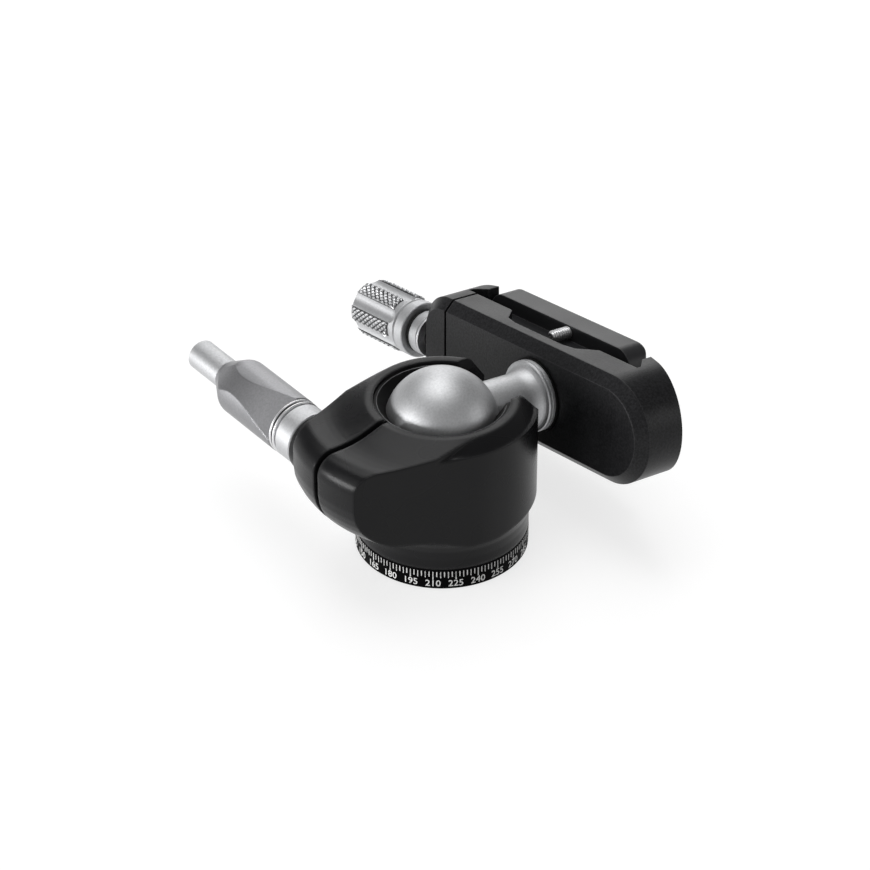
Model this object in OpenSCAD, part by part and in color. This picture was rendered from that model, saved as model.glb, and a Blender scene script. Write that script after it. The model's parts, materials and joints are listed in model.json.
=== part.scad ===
// Compact ball head with a graduated pan base and a dovetail plate clamp, millimetres, +Z up.
// Origin at the centre of the base's underside, +X toward the drop notch, lever along +Y.

/* [Base] */
// Diameter of the base and its graduated ring
base_d = 26; // [22:0.5:36]
// Height of the graduated ring
base_h = 3.5; // [2.5:0.1:6]
// Nominal diameter of the tripod thread in the base
tripod_d = 6.35; // [6.35:0.01:9.53]
// Diameter of the pan pivot post
post_d = 9; // [7:0.1:12]

/* [Housing] */
// Diameter of the round part of the housing
housing_d = 26.8; // [26:0.1:36]
// Stretch of the housing's round part toward the notch
wall_front = 0.9; // [0:0.1:2]
// Height of the rim above the table
rim_z = 25.1; // [22:0.1:32]
// Outer diameter of the flat rim
rim_d = 22.4; // [21:0.1:26]
// Diameter of the housing bore
bore_d = 20.1; // [19:0.1:24]
// Width of the drop notch
notch_w = 12.6; // [10:0.1:14]
// Width of the clamping split
split_w = 1; // [0.4:0.05:1.2]
// Distance from the pan axis to the end of the clamping lug
lug_end = 22.5; // [20:0.1:28]
// Half width of the clamping lug at its end
lug_half = 7.5; // [6:0.1:9]

/* [Ball] */
// Diameter of the ball
ball_d = 17; // [15:0.1:18]
// Height of the ball centre above the table
ball_z = 20.7; // [18:0.1:26]
// Diameter of the stem
stem_d = 8.2; // [6:0.1:9]
// Diameter of the stem flange
flange_d = 11; // [9:0.1:12]
// Distance from the ball centre to the face of the flange
flange_s = 17.1; // [15:0.1:22]
// Droop of the stem below level in the modelled pose
droop = 6; // [0:0.5:8]
// Roll of the clamp about the stem in the modelled pose
roll = 8; // [0:1:360]

/* [Lock lever] */
// Distance from the pan axis to the lever axis
lever_x = 16; // [14:0.1:20]
// Height of the lever axis above the table
lever_z = 18.5; // [16:0.1:22]
// Diameter of the lever grip
grip_d = 9; // [7:0.1:12]
// Diameter of the lever rod
rod_d = 4.8; // [4:0.1:6]
// Distance from the split to the end of the lever rod
rod_end = 40.3; // [37:0.1:60]
// Diameter of the lock screw
lock_d = 4; // [3:0.1:5]

/* [Clamp] */
// Length of the clamp along its channel
clamp_len = 16.9; // [15.5:0.1:26]
// Drop of the clamp's middle below the stem axis
clamp_drop = 0.4; // [0:0.1:1]
// Width of the plate dovetail at its foot
dovetail_w = 38.4; // [36:0.1:42]
// Depth of the clamp body under the channel floor
floor_t = 6.1; // [5.5:0.1:9]
// Fall of each jaw's front from its lip to its outer end
jaw_fall = 2.7; // [0:0.1:3]
// Width of the bevel round the back of the clamp
bevel = 1.6; // [0.5:0.1:1.8]
// Diameter of the screw that fixes the clamp to the stem
fix_d = 4; // [3:0.1:5]
// Diameter of the clamp screw
spindle_d = 3.9; // [3:0.1:4]
// Diameter of the clamp knob
knob_d = 8.7; // [8:0.1:12]
// Number of flutes round the clamp knob
knob_flutes = 6; // [4:1:8]

/* [Plate] */
// Length of the plate along the channel
plate_len = 21; // [20:0.5:26]
// Thickness of the plate above the clamp lips
slab_t = 3.9; // [3:0.1:6]
// Radius of the plate's long upper edges
slab_round = 1.5; // [1:0.1:4]
// Nominal diameter of the camera screw
camera_d = 6.3; // [5:0.05:6.35]
// Height of the camera screw above the plate
camera_h = 4.5; // [3:0.1:6]

/* [Fits] */
// Radial running fit between turning pieces
run_fit = 0.05; // [0.02:0.01:0.08]
// Gap between faces that slide past each other
slide_gap = 0.1; // [0.05:0.01:0.15]

/* [Hidden] */
$fn = 96;
e = 0.01;
ball_r = ball_d / 2;
bore_r = bore_d / 2;
wall_r = housing_d / 2;
rim_r = rim_d / 2;
base_r = base_d / 2;
post_r = post_d / 2;
deck_z = base_h + slide_gap;
web_z = 6.5;
well_r = 8;
well_z = 11.4;
notch_r = notch_w / 2;
shoulder_z = rim_z - 1.75;
neck_z = deck_z + 1.6;
neck_r = base_r;
lug_z = neck_z + 5.2;
lug_round = 3;
lug_corner = 1.35;
lug_low_r = lug_end - 4.3;
front_x = wall_r + wall_front - 4.5;
lug_top = rim_z - 1.4;
notch_drop = 0.6;
bearing_r = base_r - 4;
bearing_w = 2.3;
boss_y = wall_r - 3.8;
hub_y = boss_y + 0.5;
collar_y = boss_y + 4.3;
grip_y = boss_y + 5.5;
grip_end = rod_end - 8;
rod_y = boss_y + 10;
clamp_s = flange_s + 0.3;
floor_s = clamp_s + floor_t;
mid_y = 4;
lip_s = floor_s + 2.7;
jaw_s = floor_s + 4.4;
half_c = clamp_len / 2;
groove_half = dovetail_w / 2 + 0.9;
lip_half = groove_half - 2;
seam = 0.5;
fixed_y = mid_y - groove_half;
moving_y = mid_y + groove_half;
body_y = moving_y - 2.5;
jaw_in = body_y + seam;
jaw_out = jaw_in + 6.3;
jaw_r = 5.5;
end_y = -16;
spindle_s = clamp_s + 3;
spindle_c = -clamp_drop;
plate_s = floor_s + slide_gap;
slab_s = lip_s + 0.2;
plate_top = slab_s + slab_t;
slab_hi = mid_y + lip_half - 0.3;
slab_lo = mid_y - lip_half + 2.8;
slab_half = (slab_hi - slab_lo) / 2;
slab_mid = (slab_hi + slab_lo) / 2;
slab_corner = 3;
plate_hi = 8;
plate_lo = plate_hi - plate_len;
relief = 2.4;
stop_tip = 0.5;
pad_y = 9.2;
pad_half = 3.3;
cam_c = -2.5;
hub_r = knob_d / 2 + 0.15;
bush_y = jaw_out + 0.5;
bush_r = 3.5;
hub_in = bush_y + 2.5;
knob_in = hub_in + 2.3;
sleeve_r = 2.9;
sleeve_end = knob_in + 3.7;
knob_end = knob_in + 11.7;

// Underside of neck and lug, radius and height
under_pts = concat(
  bez_pts([neck_r, neck_z], [neck_r + 0.2, neck_z + 4.7], [neck_r + 2.2, neck_z + 4.4], [lug_low_r, lug_z], 8),
  bez_pts([lug_low_r, lug_z], [lug_low_r + 1.8, lug_z + 1.3], [lug_end - 0.2, lug_z + 3.2],
    [lug_end, lug_z + 7.2], 8));

// Each node drawn by name

// Frames and shared shapes

module on_ball() {
  translate([0, 0, ball_z])
    rotate([0, droop, 0])
      rotate([-roll, 0, 0])
        children();
}

module on_lever() {
  translate([-lever_x, 0, lever_z])
    rotate([-90, 0, 0])
      children();
}

module along_x(s0, s1, r) {
  translate([s0, 0, 0])
    rotate([0, 90, 0])
      cylinder(h = s1 - s0, r = r);
}

module along_y(y0, y1, r) {
  translate([0, y0, 0])
    rotate([-90, 0, 0])
      cylinder(h = y1 - y0, r = r);
}

module tube(z0, z1, ro, ri) {
  translate([0, 0, z0])
    difference() {
      cylinder(h = z1 - z0, r = ro);
      translate([0, 0, -1])
        cylinder(h = z1 - z0 + 2, r = ri);
    }
}

function arc_pts(cx, cy, r, a0, a1, n) =
  [for (i = [0 : n]) let (a = a0 + (a1 - a0) * i / n) [cx + r * cos(a), cy + r * sin(a)]];

function bez_pts(a, b, c, d, n) =
  [for (i = [0 : n]) let (u = i / n, v = 1 - u)
    v * v * v * a + 3 * v * v * u * b + 3 * v * u * u * c + u * u * u * d];

// Base

module base_plate() {
  color([0.08, 0.08, 0.09])
    difference() {
      union() {
        cylinder(h = base_h - 0.5, r = base_r - 1.2);
        cylinder(h = base_h, r = base_r - 3.2);
        cylinder(h = web_z + 0.1, r = post_r);
      }
      translate([0, 0, base_h - 0.4])
        tube(0, 1, bearing_r, bearing_r - bearing_w);
      translate([0, 0, -1])
        cylinder(h = 5.2, r = tripod_d / 2 + 0.9);
      cylinder(h = web_z + 1, r = 1.65);
    }
}

module dial_ring() {
  color([0.07, 0.07, 0.08])
    difference() {
      union() {
        tube(0.25, base_h, base_r, base_r - 1.2);
        translate([0, 0, base_h - 0.5])
          tube(0, 0.5, base_r - 0.6, base_r - 3.2);
        rotate_extrude()
          polygon([[base_r - 1.2, 0], [base_r - 0.25, 0], [base_r, 0.25], [base_r - 1.2, 0.25]]);
      }
    }
}

module base_insert() {
  color([0.72, 0.72, 0.74])
    difference() {
      cylinder(h = 4.2, r = tripod_d / 2 + 0.9);
      translate([0, 0, -1])
        cylinder(h = 6, r = tripod_d / 2 - 0.6);
    }
}

module pan_bearing() {
  color([0.85, 0.83, 0.78])
    tube(base_h - 0.4, deck_z, bearing_r, bearing_r - bearing_w);
}

module pan_washer() {
  color([0.7, 0.7, 0.72])
    tube(web_z + 0.1, web_z + 0.9, 6.4, 1.75);
}

module pan_screw() {
  color([0.6, 0.6, 0.62])
    difference() {
      union() {
        translate([0, 0, 4.4])
          cylinder(h = web_z + 0.9 - 4.4, r = 1.65);
        translate([0, 0, web_z + 0.9])
          cylinder(h = 1.9, r = 2.9);
      }
      translate([0, 0, web_z + 1.6])
        cylinder(h = 3, r = 1.25, $fn = 6);
    }
}

// Housing with its clamping lug, drop notch and bore

module turned_shape() {
  rotate_extrude()
    polygon(concat([[0, deck_z], [neck_r, deck_z]], under_pts,
      arc_pts(lug_end - lug_round, lug_top - lug_round, lug_round, 0, 80, 8),
      bez_pts([lug_end - lug_round, lug_top], [rim_r + 4.2, lug_top - 0.25], [rim_r + 2.2, rim_z - 0.7],
        [rim_r, rim_z], 10),
      [[0, rim_z]]));
}

module teardrop() {
  corner_x = lug_corner - lug_end;
  turn = 180 - atan2(lug_half, -corner_x) - acos(wall_r / norm([corner_x, lug_half]));
  touch = wall_r * [cos(turn), sin(turn)];
  circle(r = wall_r);
  translate([wall_front, 0])
    circle(r = wall_r);
  translate([0, -wall_r])
    square([wall_front, housing_d]);
  polygon([touch, [corner_x, lug_half], [-lug_end - 1, lug_half - 0.4], [-lug_end - 1, 0.4 - lug_half],
    [corner_x, -lug_half], [touch[0], -touch[1]]]);
}

// Conical shoulder round the rim, with the lug's top standing above it between two upright sides
module roof() {
  fall = (rim_z - shoulder_z) / (wall_r - rim_r - 0.15);
  rotate_extrude()
    polygon([[0, 0], [lug_end + 2, 0], [lug_end + 2, shoulder_z], [wall_r, shoulder_z],
      [rim_r + 0.15 - 1 / fall, rim_z + 1], [0, rim_z + 1]]);
  translate([-lug_end - 2, -rim_r, 0])
    cube([lug_end + 2, rim_d, rim_z + 2]);
}

module housing_shape() {
  intersection() {
    turned_shape();
    linear_extrude(height = rim_z + 1)
      teardrop();
    roof();
  }
}

module notch() {
  translate([0, 0, ball_z - notch_drop]) {
    along_x(5, wall_r + 5, notch_r);
    translate([5, -notch_r, 0])
      cube([wall_r, notch_w, 20]);
  }
}

module housing() {
  color([0.06, 0.06, 0.065])
    difference() {
      union() {
        housing_shape();
        translate([-lever_x, 0, lever_z])
          along_y(4, boss_y, grip_d / 2 + 0.1);
      }
      translate([0, 0, well_z])
        cylinder(h = 30, r = bore_r);
      translate([0, 0, web_z])
        cylinder(h = 30, r = well_r);
      cylinder(h = 30, r = post_r + run_fit);
      notch();
      rotate([90, 0, 0])
        translate([0, 0, -wall_r - 1])
          linear_extrude(height = housing_d + 2)
            polygon([[front_x, rim_z + 1], [front_x, rim_z], [front_x + 3.6, rim_z - 5.2],
              [front_x + 6.7, rim_z - 9], [front_x + 6.7, rim_z + 1]]);
      translate([-lug_end - 2, -split_w / 2, 8])
        cube([lug_end - 2, split_w, 30]);
      translate([-lever_x, 0, lever_z]) {
        along_y(boss_y, 30, grip_d / 2 + 0.5);
        along_y(0, 30, lock_d / 2 + 0.3);
        along_y(-7.5, 0, lock_d / 2 + 1.2);
      }
    }
}

module ball_liner() {
  low = well_z;
  top = rim_z - 0.45;
  lip = 2.5;
  color([0.05, 0.05, 0.05])
    difference() {
      translate([0, 0, low])
        cylinder(h = top - low, r = bore_r - run_fit);
      translate([0, 0, ball_z])
        sphere(r = ball_r + run_fit);
      translate([0, 0, low - 1])
        cylinder(h = 6, r = 6.2);
      translate([0, 0, ball_z + lip])
        cylinder(h = top - ball_z - lip + e, r1 = sqrt(pow(ball_r + run_fit, 2) - lip * lip), r2 = 9.43);
      notch();
      translate([-20, -split_w / 2, 0])
        cube([20, split_w, 40]);
    }
}

// Ball, stem and flange

module ball_shape() {
  r = flange_d / 2;
  neck = r - 0.15;
  fs = flange_s - 1.2;
  cove = 2.6;
  rotate([0, 90, 0])
    sphere(r = ball_r);
  rotate([0, 90, 0])
    rotate_extrude()
      polygon(concat([[0, 2], [stem_d / 2, 2]],
        [for (a = [0 : 11.25 : 90]) [neck - (neck - stem_d / 2) * cos(a), fs - cove + cove * sin(a)]],
        [[neck, fs], [r, fs + 0.2], [r, fs + 0.5], [r - 0.2, fs + 0.6], [r, fs + 0.7], [r, flange_s],
          [0, flange_s]]));
}

module ball() {
  color([0.8, 0.8, 0.82])
    on_ball()
      difference() {
        ball_shape();
        along_x(8.5, flange_s + 1, fix_d / 2 + run_fit);
      }
}

// Lock screw and lever

module lock_insert() {
  color([0.68, 0.68, 0.7])
    on_lever()
      tube(-7, -0.6, lock_d / 2 + 1.2, lock_d / 2 + run_fit);
}

module lock_screw() {
  color([0.7, 0.7, 0.72])
    on_lever()
      translate([0, 0, -6.6])
        cylinder(h = 6.6 + grip_y + 1.7, r = lock_d / 2);
}

module lock_washer() {
  color([0.25, 0.25, 0.26])
    on_lever()
      tube(boss_y, hub_y, grip_d / 2 - 0.4, lock_d / 2);
}

module handle_hub() {
  r = grip_d / 2 - 0.1;
  color([0.78, 0.78, 0.8])
    on_lever()
      difference() {
        rotate_extrude()
          polygon([[lock_d / 2, hub_y], [r - 0.2, hub_y], [r, hub_y + 0.2], [r, collar_y - 0.5],
            [r - 0.2, collar_y - 0.3], [r - 0.5, collar_y - 0.3], [r - 0.5, collar_y], [lock_d / 2, collar_y]]);
        translate([0, 0, boss_y + 2.2])
          rotate([0, 90, 45])
            cylinder(h = 10, r = 0.8);
      }
}

module handle_grub() {
  color([0.3, 0.3, 0.31])
    on_lever()
      translate([0, 0, boss_y + 2.2])
        rotate([0, 90, 45])
          difference() {
            translate([0, 0, lock_d / 2 + e])
              cylinder(h = 1.9, r = 0.8);
            translate([0, 0, lock_d / 2 + 1.1])
              cylinder(h = 2, r = 0.4, $fn = 6);
          }
}

module handle_collar() {
  r = grip_d / 2 - 0.05;
  color([0.85, 0.85, 0.87])
    on_lever()
      rotate_extrude()
        polygon([[lock_d / 2, collar_y], [r - 0.2, collar_y], [r, collar_y + 0.2], [r, grip_y - 0.2],
          [r - 0.2, grip_y], [lock_d / 2, grip_y]]);
}

// Side view of the grip's two hollow-looking flats, narrowest at the waist
module grip_flats() {
  waist = grip_end - 6.8;
  flat = grip_d / 2 - 0.26;
  for (part = [[32, grip_y - 5, waist], [14, waist, grip_end + 5]])
    intersection() {
      translate([waist, flat - part[0]])
        circle(r = part[0]);
      translate([waist, part[0] - flat])
        circle(r = part[0]);
      translate([part[1], -grip_d])
        square([part[2] - part[1], 2 * grip_d]);
    }
}

module handle_grip() {
  r = grip_d / 2;
  nose = 29;
  nose_r = 2;
  nose_y = grip_end - (r - rod_d / 2 - 0.05) / tan(nose);
  color([0.5, 0.5, 0.52])
    on_lever()
      difference() {
        intersection() {
          rotate_extrude()
            polygon(concat([[0, grip_y], [r - 0.2, grip_y], [r, grip_y + 0.2]],
              arc_pts(r - nose_r, nose_y - nose_r * tan(nose / 2), nose_r, 0, nose, 6),
              [[rod_d / 2 + 0.05, grip_end], [0, grip_end]]));
          rotate([0, 0, -45])
            rotate([0, -90, 0])
              translate([0, 0, -grip_d])
                linear_extrude(height = 2 * grip_d)
                  grip_flats();
        }
        translate([0, 0, grip_y - 1])
          cylinder(h = 2.8, r = lock_d / 2);
        translate([0, 0, rod_y])
          cylinder(h = 60, r = rod_d / 2);
      }
}

module handle_rod() {
  r = rod_d / 2;
  color([0.82, 0.82, 0.84])
    on_lever()
      rotate_extrude()
        polygon([[0, rod_y], [r, rod_y], [r, rod_end - 0.5], [r - 0.5, rod_end], [0, rod_end]]);
}

// Clamp, drawn level with the stem along +X from the ball centre

module stem_shim() {
  color([0.1, 0.1, 0.1])
    on_ball()
      rotate([0, 90, 0])
        tube(flange_s, clamp_s, flange_d / 2 + 0.3, fix_d / 2 + 0.1);
}

module stem_screw() {
  color([0.66, 0.66, 0.68])
    on_ball()
      rotate([0, 90, 0])
        difference() {
          union() {
            translate([0, 0, 9.2])
              cylinder(h = floor_s - 9.3, r = fix_d / 2);
            translate([0, 0, floor_s - 2.4])
              cylinder(h = 2.3, r1 = fix_d / 2, r2 = 3.8);
          }
          translate([0, 0, floor_s - 1.6])
            cylinder(h = 3, r = 1.2, $fn = 6);
        }
}

module puck(y, c, r, s1) {
  translate([0, y, c])
    rotate([0, 90, 0])
      rotate_extrude()
        polygon([[0, clamp_s], [r - bevel, clamp_s], [r, clamp_s + bevel], [r, s1], [0, s1]]);
}

module slab(y0, y1, s1) {
  translate([0, y1, -clamp_drop])
    rotate([90, 0, 0])
      linear_extrude(height = y1 - y0)
        polygon([[clamp_s, bevel - half_c], [clamp_s + bevel, -half_c], [s1, -half_c], [s1, half_c],
          [clamp_s + bevel, half_c], [clamp_s, half_c - bevel]]);
}

module channel() {
  translate([0, 0, -20])
    linear_extrude(height = 40)
      polygon([[floor_s, fixed_y], [floor_s + 0.7, fixed_y], [lip_s, fixed_y + 2], [jaw_s + 9, fixed_y + 2],
        [jaw_s + 9, 40], [floor_s, 40]]);
}

// Slanted front of a jaw, from its lip to its outer end
module jaw_slope(lip_y, out_y, s1) {
  past = out_y + sign(out_y - lip_y);
  translate([0, 0, -20])
    linear_extrude(height = 40)
      polygon([[s1, lip_y], [s1 - jaw_fall, out_y], [s1 - jaw_fall, past], [s1 + 3, past], [s1 + 3, lip_y]]);
}

module relief_cut() {
  translate([0, 0, 4.2 - clamp_drop])
    linear_extrude(height = 20)
      polygon([[floor_s + 1, -8.8], [floor_s, -7.6], [floor_s - relief, -4.8], [floor_s - relief - 0.5, -2.5],
        [floor_s - relief - 0.5, 8.6], [floor_s - relief, 10.9], [floor_s, 13], [floor_s + 1, 13.6]]);
}

module clamp_body() {
  color([0.06, 0.06, 0.065])
    on_ball()
      difference() {
        union() {
          slab(end_y, body_y, jaw_s);
          puck(end_y, -clamp_drop, half_c, jaw_s);
        }
        channel();
        jaw_slope(fixed_y + 2, end_y - half_c, jaw_s);
        relief_cut();
        translate([0, 0, -2 * clamp_drop])
          mirror([0, 0, 1])
            relief_cut();
        along_x(clamp_s - 1, floor_s + 1, fix_d / 2 + 0.1);
        translate([floor_s - 2.5, 0, 0])
          rotate([0, 90, 0])
            cylinder(h = 2.6, r1 = fix_d / 2 + 0.1, r2 = 4);
        translate([spindle_s, 0, spindle_c])
          along_y(5.2, body_y + 1, spindle_d / 2 + run_fit);
        for (k = [-1, 1])
          translate([spindle_s - 0.4, 0, spindle_c + 5.3 * k])
            along_y(14.2, body_y + 1, 0.8 + run_fit);
      }
}

module clamp_jaw() {
  s1 = jaw_s + 0.3;
  c1 = half_c - jaw_r;
  color([0.06, 0.06, 0.065])
    on_ball()
      difference() {
        union() {
          for (k = [-1, 1])
            puck(jaw_out - jaw_r, c1 * k - clamp_drop, jaw_r, s1);
          slab(jaw_in - 3, jaw_out - jaw_r, s1);
          translate([0, 0, -c1 - clamp_drop])
            linear_extrude(height = 2 * c1)
              polygon([[clamp_s, jaw_in - 3], [clamp_s, jaw_out - bevel], [clamp_s + bevel, jaw_out],
                [s1, jaw_out], [s1, jaw_in - 3]]);
        }
        translate([0, 0, -20])
          linear_extrude(height = 40)
            polygon([[clamp_s - 1, jaw_in], [floor_s + slide_gap, jaw_in], [floor_s + slide_gap, moving_y],
              [floor_s + 0.7, moving_y], [lip_s, moving_y - 2], [jaw_s + 4, moving_y - 2], [jaw_s + 4, 0],
              [clamp_s - 1, 0]]);
        jaw_slope(moving_y - 2, jaw_out, s1);
        translate([spindle_s, 0, spindle_c])
          along_y(0, 40, spindle_d / 2 + 0.1);
        for (k = [-1, 1])
          translate([spindle_s - 0.4, 0, spindle_c + 5.3 * k])
            along_y(0, jaw_in + 3, 0.8);
      }
}

module guide_pin(k) {
  color([0.7, 0.7, 0.72])
    on_ball()
      translate([spindle_s - 0.4, 0, spindle_c + 5.3 * k])
        along_y(14.6, jaw_in + 3, 0.8);
}

module guide_pin_a() {
  guide_pin(1);
}

module guide_pin_b() {
  guide_pin(-1);
}

module on_spindle() {
  on_ball()
    translate([spindle_s, 0, spindle_c])
      rotate([-90, 0, 0])
        children();
}

module clamp_spindle() {
  color([0.74, 0.74, 0.76])
    on_spindle()
      translate([0, 0, 5.6])
        cylinder(h = sleeve_end - 5.6, r = spindle_d / 2);
}

module knob_washer() {
  color([0.15, 0.15, 0.15])
    on_spindle()
      tube(jaw_out + e, bush_y, bush_r - 0.2, spindle_d / 2 + 0.1);
}

module clamp_hub() {
  color([0.8, 0.8, 0.82])
    on_spindle()
      rotate_extrude()
        polygon([[spindle_d / 2, bush_y], [bush_r - 0.15, bush_y], [bush_r, bush_y + 0.15],
          [bush_r, bush_y + 1.8], [bush_r - 0.4, bush_y + 1.8], [bush_r - 0.4, hub_in],
          [hub_r - 0.15, hub_in], [hub_r, hub_in + 0.15], [hub_r, hub_in + 1.9],
          [hub_r - 0.15, hub_in + 2.05], [bush_r - 0.1, hub_in + 2.05],
          [bush_r - 0.1, knob_in], [sleeve_r, knob_in], [sleeve_r, sleeve_end], [spindle_d / 2, sleeve_end]]);
}

module clamp_knob() {
  r = knob_d / 2;
  flute_r = 1.6;
  flute_depth = 0.55;
  color([0.8, 0.8, 0.82])
    on_spindle()
      difference() {
        rotate_extrude()
          polygon([[0, knob_in], [r - 0.3, knob_in], [r, knob_in + 0.3], [r, knob_end - 0.6],
            [r - 0.6, knob_end], [0, knob_end]]);
        translate([0, 0, knob_in - 1])
          cylinder(h = sleeve_end - knob_in + 1, r = sleeve_r);
        for (i = [0 : knob_flutes - 1])
          rotate([0, 0, 360 * (i + 0.5) / knob_flutes])
            translate([r + flute_r - flute_depth, 0, knob_in + flute_r]) {
              cylinder(h = 40, r = flute_r);
              sphere(r = flute_r);
            }
      }
}

// Plate and its captive screw

module plate_outline(half, lo, hi, r) {
  for (y = [slab_mid - half + r, slab_mid + half - r])
    for (c = [lo + r, hi - r])
      translate([y, c])
        circle(r = r);
  translate([slab_mid - half + r, lo])
    square([2 * half - 2 * r, hi - lo]);
  translate([slab_mid - half, lo + r])
    square([2 * half, hi - lo - 2 * r]);
}

// Section of the plate's slab, its long upper edges rounded
module slab_section() {
  r = min(slab_round, slab_t - 0.3);
  polygon(concat([[slab_s - 1, slab_half], [slab_s - 1, -slab_half]],
    arc_pts(plate_top - r, r - slab_half, r, -90, 0, 8), arc_pts(plate_top - r, slab_half - r, r, 0, 90, 8)));
}

module plate() {
  wide = dovetail_w / 2;
  flank = groove_half + floor_s + 0.7 - 0.12;
  color([0.07, 0.07, 0.075])
    on_ball()
      difference() {
        union() {
          intersection() {
            translate([slab_s, 0, 0])
              rotate([90, 0, 90])
                linear_extrude(height = slab_t)
                  plate_outline(slab_half, plate_lo, plate_hi, slab_corner);
            translate([0, slab_mid, plate_lo - 1])
              linear_extrude(height = plate_len + 2)
                slab_section();
          }
          translate([0, 0, plate_lo + relief])
            linear_extrude(height = plate_len - 2 * relief)
              for (k = [-1, 1])
                translate([0, mid_y])
                  mirror([0, k < 0 ? 1 : 0])
                    polygon([[plate_s, 0], [plate_s, wide - 0.3], [plate_s + 0.3, wide], [flank - wide, wide],
                      [slab_s + 0.4, flank - slab_s - 0.4], [slab_s + 0.4, 0]]);
        }
        translate([0, mid_y, cam_c]) {
          along_x(plate_s - 1, plate_s + 3.2, 5.3);
          along_x(plate_s, plate_top + 1, camera_d / 2 + 2 * run_fit);
          along_x(plate_top - 0.8, plate_top + 1, 4.9);
        }
        for (k = [-1, 1])
          translate([plate_top - 0.5, mid_y + pad_y * k - pad_half, plate_lo + 2.6])
            cube([2, 2 * pad_half, plate_len - 5.2]);
        for (c = [plate_hi - 1.15, plate_lo + 1.15])
          translate([0, 3.1, c])
            along_x(plate_s, slab_s + 2.6, 0.95);
      }
}

module camera_screw() {
  r = camera_d / 2;
  color([0.75, 0.75, 0.77])
    on_ball()
      translate([0, mid_y, cam_c])
        rotate([0, 90, 0])
          difference() {
            rotate_extrude()
              polygon([[0, plate_s + 0.3], [4.8, plate_s + 0.3], [5, plate_s + 0.5], [5, plate_s + 3],
                [r, plate_s + 3], [r, plate_top - 0.75], [2.6, plate_top - 0.75], [2.6, plate_top - 0.15],
                [r, plate_top - 0.15],
                [r, plate_top + camera_h - 0.5], [r - 0.5, plate_top + camera_h], [0, plate_top + camera_h]]);
            translate([-0.5, -6, plate_s])
              cube([1, 12, 1.4]);
          }
}

module screw_clip() {
  color([0.5, 0.5, 0.52])
    on_ball()
      translate([0, mid_y, cam_c])
        rotate([0, 90, 0])
          difference() {
            tube(plate_top - 0.7, plate_top - 0.2, 4.5, 2.6 + run_fit);
            translate([-1.2, 0, plate_top - 2])
              cube([2.4, 10, 4]);
          }
}

module pad(k) {
  color([0.1, 0.1, 0.1])
    on_ball()
      translate([plate_top - 0.5, mid_y + pad_y * k - pad_half, plate_lo + 2.6])
        cube([0.9, 2 * pad_half, plate_len - 5.2]);
}

module pad_a() {
  pad(1);
}

module pad_b() {
  pad(-1);
}

module stop_screw(c) {
  color([0.8, 0.8, 0.82])
    on_ball()
      translate([0, 3.1, c])
        difference() {
          along_x(floor_s - stop_tip, slab_s + 2.6, 0.95);
          along_x(floor_s - stop_tip - 1, floor_s - stop_tip + 0.8, 0.45);
        }
}

module stop_screw_a() {
  stop_screw(plate_hi - 1.15);
}

module stop_screw_b() {
  stop_screw(plate_lo + 1.15);
}

base_plate();
dial_ring();
base_insert();
pan_bearing();
pan_washer();
pan_screw();
housing();
ball_liner();
ball();
lock_insert();
lock_screw();
lock_washer();
handle_hub();
handle_collar();
handle_grip();
handle_rod();
handle_grub();
stem_shim();
stem_screw();
clamp_body();
clamp_jaw();
guide_pin_a();
guide_pin_b();
clamp_spindle();
knob_washer();
clamp_hub();
clamp_knob();
plate();
camera_screw();
screw_clip();
pad_a();
pad_b();
stop_screw_a();
stop_screw_b();
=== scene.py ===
import json
import math

import bpy
from mathutils import Matrix, Vector


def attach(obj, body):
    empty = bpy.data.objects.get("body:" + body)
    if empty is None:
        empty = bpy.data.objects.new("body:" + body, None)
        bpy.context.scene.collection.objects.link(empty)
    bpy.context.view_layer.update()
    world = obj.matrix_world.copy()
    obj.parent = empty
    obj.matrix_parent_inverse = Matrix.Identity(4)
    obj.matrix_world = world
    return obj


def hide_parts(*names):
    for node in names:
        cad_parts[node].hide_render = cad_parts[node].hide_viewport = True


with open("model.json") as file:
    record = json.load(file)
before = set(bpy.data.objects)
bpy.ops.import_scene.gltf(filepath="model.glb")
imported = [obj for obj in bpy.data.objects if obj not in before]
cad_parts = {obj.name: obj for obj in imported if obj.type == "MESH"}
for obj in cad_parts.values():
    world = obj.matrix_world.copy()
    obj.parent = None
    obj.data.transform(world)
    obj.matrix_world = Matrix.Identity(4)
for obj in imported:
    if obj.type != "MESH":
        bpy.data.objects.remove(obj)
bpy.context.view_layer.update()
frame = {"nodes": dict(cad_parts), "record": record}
nodes = frame["nodes"]

# Lengths are in millimetres unless a comment says otherwise
MM = 0.001
FULL_TURN = 2 * math.pi
QUARTER_TURN = math.radians(90)

# Ball and the clamp's lean on it
BALL_Z = 20.7
DROOP = math.radians(6)
ROLL = math.radians(8)

# Graduated ring of the base: ticks are count, length and width
BASE_R = 13.0
DIAL_AT_ZERO = 17.3
DIAL_TOP = 3.2
DIAL_TICKS = ((144, 0.93, 0.14), (72, 1.1, 0.15), (24, 1.42, 0.17))
TICK_THICK = 0.05
TICK_SUNK = 0.005
TICK_BEVEL = 0.012
DIAL_NUMBER_STEP = 15
DIAL_NUMBER_Z = 0.6
DIAL_NUMBER_SIZE = 1.56
DIAL_NUMBER_BOLD = 0.014
DIAL_NUMBER_THICK = 0.03
DIAL_NUMBER_SUNK = 0.01

# Knob on its spindle, heights measured along the spindle
SPINDLE_S = 20.4
SPINDLE_C = -0.4
JAW_OUT = 28.4
THRUST_R_IN = 2.1
THRUST_R = 3.5
THRUST_EDGE = 0.08
NECK_Y = 30.7
NECK_R = 3.1
NECK_LEN = 0.7
KNOB_IN = 33.7
KNOB_OUT = 45.4
KNOB_R = 4.35
KNOB_PANELS = 6

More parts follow.
